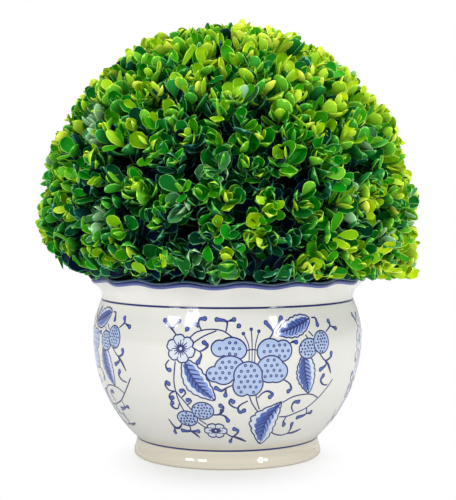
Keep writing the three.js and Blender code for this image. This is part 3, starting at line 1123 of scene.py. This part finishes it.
def make_wood(plant, shoots):
    """Boughs from the stem, branches from the boughs, and a twig through each leafy shoot."""
    middle = Vector((0, 0, plant.centre))
    lowest = plant.rim_clear + 9 * MM
    stem_low, stem_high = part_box("stem")
    boughs = []
    for way in spiral(plant.boughs, math.radians(100)):
        # The more upright a bough grows, the higher it leaves the stem
        share = 0.35 + 0.6 * (way.z + 0.2) / 1.2
        start = Vector((STEM_LEAN * share * share, 0, stem_low.z + (stem_high.z - stem_low.z) * share))
        end = middle + way * BOUGH_REACH
        end.z = max(end.z, lowest)
        leave = (way + UP * 0.6).normalized()
        boughs.append((start, leave, end, way, *BOUGH_RADII))
    branches = []
    for way in spiral(plant.branches, math.radians(104)):
        parent = max(boughs, key=lambda bough: bough[3].dot(way))
        end = middle + way * BRANCH_REACH
        end.z = max(end.z, lowest)
        branches.append((parent[2], parent[3], end, way, *BRANCH_RADII))
    twigs = []
    for shoot in shoots:
        out = (shoot.foot - middle).normalized()
        parent = max(branches, key=lambda branch: branch[3].dot(out))
        tip = shoot.foot + shoot.way * shoot.size * 0.92
        for _ in range(4):
            around = (tip - UP * TWIG_COVER, tip + shoot.way * TWIG_COVER)
            if all(in_space(plant, point) for point in around):
                break
            tip = tip.lerp(shoot.foot, 0.25)
        twigs.append((parent[2], parent[3], tip, shoot.way, *TWIG_RADII))
    for name, limbs, sides, rings, bark, slot in (
        ("boughs", boughs, 10, 8, box_bark, "box_bark"),
        ("branches", branches, 8, 5, box_bark, "box_bark"),
        ("twigs", twigs, 5, 5, young_bark, "box_foliage"),
    ):
        points, faces = bent_tubes(tube_template(sides, rings), limbs)
        add_piece(name, joined_mesh(points, faces), [bark()], "foliage_ball")


def young_bark():
    """The bark of this year's twigs: yellow green and waxy, with fine length ridges."""
    green = linear("#6f8a3c")
    material, tree, shader, place = new_material("young_green_bark", Base_Color=green, Roughness=0.55)
    ripple(tree, shader, place, 1 * MM, 2.0, 0.4, 0.2 * MM)
    return material


LEAF_ROWS = (0, 0.18, 0.42, 0.68, 0.87, 0.965, 1)
MARGIN = 0.88
LEAF_COLUMNS = (-1, -MARGIN, 0, MARGIN, 1)


def leaf_half_width(share):
    """A box leaf's half width along its length: narrow at the root, blunt at the tip."""
    return np.maximum(np.sin(np.pi * np.asarray(share, float) ** 1.8), 0) ** 0.6


def leaf_template():
    """A closed leaf of two grids joined at their edges, with its margin and underside marked.

    Gives across and along shares of each corner, 1 for a corner under the blade, the faces and
    their material numbers, and which corners lie on the edge.
    """
    blade = bmesh.new()
    rows = len(LEAF_ROWS) - 1
    columns = len(LEAF_COLUMNS) - 1
    for below in (0, 1):
        made = bmesh.ops.create_grid(blade, x_segments=columns, y_segments=rows, size=1)
        for corner in made["verts"]:
            column = round((corner.co.x + 1) / 2 * columns)
            row = round((corner.co.y + 1) / 2 * rows)
            across, along = LEAF_COLUMNS[column], LEAF_ROWS[row]
            hidden = below * (1 - across * across)
            corner.co = Vector((across * float(leaf_half_width(along)), along, -hidden))
            if row in (0, rows):
                corner.co = Vector((0, along, 0))
    bmesh.ops.remove_doubles(blade, verts=blade.verts, dist=1e-4)
    bmesh.ops.dissolve_degenerate(blade, dist=1e-5, edges=blade.edges)
    bmesh.ops.recalc_face_normals(blade, faces=blade.faces)
    blade.verts.index_update()
    places = np.array([corner.co[:] for corner in blade.verts])
    half = leaf_half_width(places[:, 1])
    across = np.divide(places[:, 0], half, out=np.zeros(len(places)), where=half > 1e-6)
    faces = []
    kinds = []
    for face in blade.faces:
        faces.append([corner.index for corner in face.verts])
        under = any(corner.co.z < -0.1 for corner in face.verts)
        side = np.mean([abs(across[corner.index]) for corner in face.verts])
        end = min(corner.co.y for corner in face.verts) > 0.93
        kinds.append(1 if side > MARGIN + 0.01 or end else 2 if under else 0)
    rim = (np.abs(across) > 0.99) | (places[:, 1] < 0.001) | (places[:, 1] > 0.999)
    blade.free()
    return across, places[:, 1], -places[:, 2], faces, kinds, rim


# Leaf pairs from the oldest to the youngest: place along the shoot, lean from it in degrees,
# and length as a share of a full-grown leaf
LEAF_PAIRS = (
    (0.05, 46, 1.0),
    (0.28, 39, 1.0),
    (0.52, 31, 1.0),
    (0.75, 22, 0.92),
    (0.92, 10, 0.72),
)


# The clipped underside slopes up outside RIM_EDGE, and hangs lower again right of RIGHT_EDGE. It
# curves up at the ball's edge from CURVE_START millimetres, which lies further out on the right.
RIM_EDGE, RISING = 112 * MM, 0.065
CURVE_START, CURVE_LEAN, CURVE = 128, 0.12, 60 * MM
RIGHT_EDGE, HANGING = 120 * MM, 0.2


def in_space(plant, point):
    """True inside the clipped ball and above its underside.

    The underside lies just over the bowl's rim and slopes up beyond it. It curves up at the
    ball's edge, and hangs a little lower again at the far right.
    """
    across = math.hypot(point.x, point.y)
    beyond = max(0, across - (CURVE_START + CURVE_LEAN * point.x / MM) * MM)
    sloped = RISING * max(0, across - RIM_EDGE) - HANGING * max(0, point.x - RIGHT_EDGE)
    lowest = plant.rim_clear + sloped + beyond**2 / CURVE
    out = point - Vector((0, 0, plant.centre))
    return out.length < clipped_reach(plant, out.normalized()) and point.z > lowest


# Random shares: a leaf's width of its length, and its length of a full-grown leaf's
LEAF_WIDTHS = (0.47, 0.67)
LEAF_LENGTHS = (0.74, 1.1)


class Leaf:
    """One leaf: its root, its frame, and the numbers that shape its blade."""

    def __init__(self, root, along, face, size, dice):
        across = along.cross(face).normalized()
        self.root = root
        self.frame = Matrix((across, along, across.cross(along))).transposed()
        self.size = size
        self.width = size * dice.uniform(*LEAF_WIDTHS)
        self.cup = dice.uniform(-0.1, 0.6)
        self.bend = dice.uniform(-0.12, 0.2)
        self.twist = dice.uniform(-0.35, 0.35)


def grow_leaves(plant, shoots):
    """Opposite pairs on each shoot, each pair square to the last, that keep to the ball's space."""
    dice = random.Random(plant.seed + 1)
    leaves = {tint: [] for tint in TINTS}
    for shoot in shoots:
        start = Matrix.Rotation(dice.uniform(0, math.pi), 3, shoot.way)
        side = start @ shoot.way.orthogonal().normalized()
        for age, (share, lean, size) in enumerate(LEAF_PAIRS):
            for half_turn in (0, math.pi):
                spin = Matrix.Rotation(half_turn + dice.uniform(-0.5, 0.5), 3, shoot.way)
                out = spin @ side
                root = shoot.foot + shoot.way * shoot.size * share + out * 0.5 * MM
                long = plant.leaf * size * dice.uniform(*LEAF_LENGTHS)
                first = math.radians(lean + dice.uniform(-15, 15))
                for change in (0, -0.3, 0.3, -0.6, 0.6):
                    tilt = first + change
                    along = shoot.way * math.cos(tilt) + out * math.sin(tilt)
                    if in_space(plant, root + along * long):
                        break
                else:
                    continue
                face = shoot.way * math.sin(tilt) - out * math.cos(tilt)
                roll = Matrix.Rotation(dice.uniform(-0.3, 0.3), 3, along)
                tint = leaf_tint(shoot.tint, age, dice)
                leaves[tint].append(Leaf(root, along, roll @ face, long, dice))
            side = Matrix.Rotation(math.pi / 2, 3, shoot.way) @ side
    return leaves


def leaves_mesh(template, leaves):
    """All leaves of one tint as one mesh: the template shaped and placed for each."""
    across, along, below, faces, kinds, rim = template
    half = leaf_half_width(along)
    size, width, cup, bend, twist = (
        np.array([getattr(leaf, name) for leaf in leaves])[:, None]
        for name in ("size", "width", "cup", "bend", "twist")
    )
    x = across * half * width / 2
    y = along * size
    fold = 0.1 * (np.abs(across) - 1) * half * width
    z = cup * half * width / 2 * (across**2 - 1) + fold - bend * size * along**2
    z = z + twist * along * x - below * 0.35 * MM
    local = np.stack([x, y, z], axis=-1)
    frames = np.array([leaf.frame for leaf in leaves])
    roots = np.array([leaf.root for leaf in leaves])
    points = np.einsum("mij,mnj->mni", frames, local) + roots[:, None, :]
    count = len(across)
    outlines = [[corner + i * count for corner in face] for i in range(len(leaves)) for face in faces]
    mesh = joined_mesh(points.reshape(-1, 3), outlines, kinds * len(leaves))
    ends = np.empty(len(mesh.edges) * 2, np.int32)
    mesh.edges.foreach_get("vertices", ends)
    on_rim = np.tile(rim, len(leaves))[ends.reshape(-1, 2)].all(axis=1)
    sharp = mesh.attributes.new("sharp_edge", "BOOLEAN", "EDGE")
    sharp.data.foreach_set("value", on_rim)
    return mesh


def leaf_surface(name, tint, roughness):
    """Box leaf: leathery, with a waxy sheen that fine wrinkles about 1.5 mm apart break up."""
    material, tree, shader, place = new_material(
        name, Base_Color=linear(tint), Roughness=roughness, IOR=1.42, Specular_IOR_Level=0.1
    )
    ripple(tree, shader, place, 1.5 * MM, 2.0, 0.35, 0.25 * MM)
    return material


# The parts of a leaf in the order of its tints, and how rough each is
LEAF_PARTS = (("blade", 0.42), ("margin", 0.5), ("underside", 0.65))


def make_leaves(plant, shoots):
    """One mesh of leaves for each tint that occurs."""
    template = leaf_template()
    for tint, leaves in grow_leaves(plant, shoots).items():
        if leaves:
            materials = [
                leaf_surface(f"box_leaf_{tint}_{part}", shade, roughness)
                for (part, roughness), shade in zip(LEAF_PARTS, TINTS[tint])
            ]
            mesh = leaves_mesh(template, leaves)
            add_piece(f"leaves_{tint}", mesh, materials, "foliage_ball")


def matt_white(stage):
    """Matt white paper floor. To the camera it glows white away from the foot, which is painted light,
    and the soft shadow left round the foot has a painted edge over the real one.
    """
    material, tree, shader, place = new_material("matt_white_paper", Roughness=0.95)
    cloud = add_node(tree, "TexNoise", {"Vector": place, "Scale": 1 / 0.1})
    clouded = {SHARE: cloud, FIRST: list(stage.floor), SECOND: linear("#dcdcdc")}
    tint = add_node(tree, "Mix", clouded, data_type="RGBA")
    tree.links.new(tint.outputs[MIXED], shader.inputs["Base Color"])
    # Painted shadow edge: the glow fades in with distance from a point just in front of the foot
    near_foot = {"Vector": place, "Location": (0, 0.03, 0), "Scale": (1.5, 1, 1)}
    shadow = add_node(tree, "Mapping", near_foot)
    away = add_node(tree, "VectorMath", {0: shadow}, operation="LENGTH").outputs["Value"]
    fade = {"Value": away, "From Min": 0.06, "From Max": 0.15, "To Min": 0.35, "To Max": 1.0}
    share = add_node(tree, "MapRange", fade, interpolation_type="SMOOTHSTEP")
    seen = add_node(tree, "LightPath").outputs["Is Camera Ray"]
    painted_glow = add_node(tree, "Math", {0: share, 1: seen}, operation="MULTIPLY")
    white = add_node(tree, "Emission", {"Color": (1, 1, 1, 1), "Strength": 1.0})
    surface = tree.nodes["Material Output"].inputs["Surface"]
    add_node(tree, "MixShader", {0: painted_glow, 1: shader, 2: white}, surface)
    return material


def add_softbox(name, turn, rise, distance, width, height, power, aim):
    """A soft area light, seen from the bowl at an angle right of the front and above level."""
    light = bpy.data.lights.new(name, "AREA")
    light.shape = "RECTANGLE"
    light.size = width
    light.size_y = height
    light.energy = power
    turn, rise = math.radians(turn), math.radians(rise)
    way = Vector((math.cos(rise) * math.sin(turn), -math.cos(rise) * math.cos(turn), math.sin(rise)))
    lamp = new_object(name, light)
    lamp.location = Vector((0, 0, aim)) + way * distance
    lamp.rotation_euler = way.to_track_quat("Z", "Y").to_euler()


def make_world():
    """White to the camera; for light it is brighter above and behind than in front."""
    world = bpy.data.worlds.new("studio")
    bpy.context.scene.world = world
    world.use_nodes = True
    tree = world.node_tree
    back = tree.nodes["Background"]
    back.inputs["Color"].default_value = (1, 1, 1, 1)
    way = add_node(tree, "TexCoord").outputs["Generated"]
    parts = add_node(tree, "SeparateXYZ", {"Vector": way}).outputs
    backwards = {"Value": parts["Y"], "From Min": -1.0, "To Min": 0.1, "To Max": 0.5}
    behind = add_node(tree, "MapRange", backwards)
    above = add_node(tree, "MapRange", {"Value": parts["Z"]})
    light = add_node(tree, "Math", {0: behind, 1: above}, operation="ADD")
    seen = add_node(tree, "LightPath").outputs["Is Camera Ray"]
    add_node(tree, "Mix", {0: seen, 2: light, 3: 1.0}, back.inputs["Strength"])


# Softboxes: degrees right of the front and above level, then distance, width, height, power in
# watts, and the height that it points at
SOFTBOXES = {
    "window_left": (-31.5, 28.6, 1.6, 0.26, 0.5, 5.7, 0.09),
    "window_far_left": (-47.5, 23, 1.6, 0.27, 0.3, 3.6, 0.09),
    "window_right": (41, 19, 1.6, 0.16, 0.62, 5.0, 0.09),
    "window_far_right": (48.5, 20, 1.6, 0.14, 0.2, 1.3, 0.09),
    "top_light": (75, 62, 1.5, 1.2, 1.2, 10.5, 0.2),
}


def make_stage(stage):
    """White paper floor, window lights, a white world, and the camera at the photo's place."""
    floor = bmesh.new()
    bmesh.ops.create_circle(floor, cap_ends=True, cap_tris=False, segments=96, radius=6)
    bmesh.ops.translate(floor, verts=floor.verts, vec=(0, 0, -0.05 * MM))
    mesh = mesh_of(floor)
    mesh.materials.append(matt_white(stage))
    new_object("paper_floor", mesh)
    for name, settings in SOFTBOXES.items():
        add_softbox(name, *settings)
    make_world()
    lens = bpy.data.cameras.new("camera")
    lens.type = "PERSP"
    lens.sensor_width = 36
    lens.lens = stage.lens
    camera = new_object("camera", lens)
    camera.location = (stage.camera_right, -stage.distance, stage.camera_height)
    camera.rotation_euler = (math.pi / 2 - stage.pitch, 0, 0)
    bpy.context.scene.camera = camera
    bpy.context.scene.view_settings.view_transform = "Standard"


class TOPIARY_OT_bowl(bpy.types.Operator):
    """Make the glazed bowl, its rim bands and its ring lines"""

    bl_idname = "topiary.bowl"
    bl_label = "Bowl"

    def execute(self, context):
        make_bowl(context.scene.topiary_bowl)
        make_rings(context.scene.topiary_bowl, context.scene.topiary_paint)
        return {"FINISHED"}


class TOPIARY_OT_painting(bpy.types.Operator):
    """Paint the flower scroll on the bowl"""

    bl_idname = "topiary.painting"
    bl_label = "Painting"

    def execute(self, context):
        make_painting(context.scene.topiary_bowl, context.scene.topiary_paint)
        return {"FINISHED"}


class TOPIARY_OT_fill(bpy.types.Operator):
    """Fill the bowl with planting mix"""

    bl_idname = "topiary.fill"
    bl_label = "Planting mix"

    def execute(self, context):
        make_fill(context.scene.topiary_bowl)
        return {"FINISHED"}


class TOPIARY_OT_stem(bpy.types.Operator):
    """Make the short stem with its bark"""

    bl_idname = "topiary.stem"
    bl_label = "Stem"

    def execute(self, context):
        make_stem()
        return {"FINISHED"}


class TOPIARY_OT_foliage(bpy.types.Operator):
    """Grow the core, the boughs, the twigs and the leaves of the ball"""

    bl_idname = "topiary.foliage"
    bl_label = "Foliage"

    def execute(self, context):
        plant = context.scene.topiary_plant
        shoots = grow_shoots(plant)
        make_core(plant)
        make_wood(plant, shoots)
        make_leaves(plant, shoots)
        return {"FINISHED"}


class TOPIARY_OT_stage(bpy.types.Operator):
    """Set up the floor, the lights and the camera"""

    bl_idname = "topiary.stage"
    bl_label = "Stage"

    def execute(self, context):
        make_stage(context.scene.topiary_stage)
        return {"FINISHED"}


OPERATORS = (
    TOPIARY_OT_bowl,
    TOPIARY_OT_painting,
    TOPIARY_OT_fill,
    TOPIARY_OT_stem,
    TOPIARY_OT_foliage,
    TOPIARY_OT_stage,
)


class TOPIARY_PT_panel(bpy.types.Panel):
    """Lists the steps that make the topiary"""

    bl_label = "Box topiary ball"
    bl_idname = "TOPIARY_PT_panel"
    bl_space_type = "VIEW_3D"
    bl_region_type = "UI"
    bl_category = "Topiary"

    def draw(self, context):
        for operator in OPERATORS:
            self.layout.operator(operator.bl_idname)


SETTINGS = {
    "topiary_bowl": BowlSettings,
    "topiary_paint": PaintSettings,
    "topiary_plant": FoliageSettings,
    "topiary_stage": StageSettings,
}


def register():
    for group in (*SETTINGS.values(), *OPERATORS, TOPIARY_PT_panel):
        bpy.utils.register_class(group)
    for name, group in SETTINGS.items():
        setattr(bpy.types.Scene, name, bpy.props.PointerProperty(type=group))


def unregister():
    for name in SETTINGS:
        delattr(bpy.types.Scene, name)
    for group in (TOPIARY_PT_panel, *reversed(OPERATORS), *reversed(SETTINGS.values())):
        bpy.utils.unregister_class(group)


def main():
    register()
    bpy.ops.topiary.stage()
    bpy.ops.topiary.bowl()
    bpy.ops.topiary.painting()
    bpy.ops.topiary.fill()
    bpy.ops.topiary.stem()
    bpy.ops.topiary.foliage()


if __name__ == "__main__":
    main()
